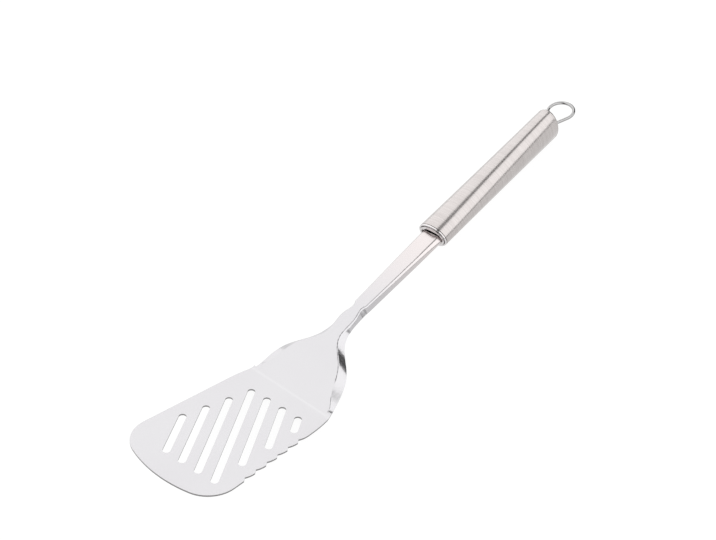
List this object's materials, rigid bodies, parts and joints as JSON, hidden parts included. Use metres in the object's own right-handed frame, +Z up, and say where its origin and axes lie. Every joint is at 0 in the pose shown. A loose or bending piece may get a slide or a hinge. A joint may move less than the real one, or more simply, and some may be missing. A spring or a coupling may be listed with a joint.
{
  "type": "fish spatula",
  "caption": "Slotted steel turner with a broad tilted blade, a serrated side, a folded shank, a hollow oval handle and a wire hanging loop.",
  "frame": {"origin": "on the table, under the middle of the whole length and at the middle of the blade's width, with the spatula lying as it rests: on the bend between blade and shoulder and on the lower edge of the rear cap", "axes": "+X from the blade's tip to the hanging loop, +Y to the plain side of the blade, away from its serrated side, +Z up from the table"},
  "size_m": [0.373, 0.0718, 0.0357],
  "materials": {
    "satin_sheet": "satin",
    "brushed_handle": "fine brushed",
    "polished_trim": "polished"
  },
  "bodies": {
    "root": {"blade_and_shank": "satin_sheet", "handle_shell": "brushed_handle", "mouth_ring": "polished_trim", "mouth_cap": "polished_trim", "rear_cap": "brushed_handle", "hanging_loop": "polished_trim"}
  },
  "joints": []
}
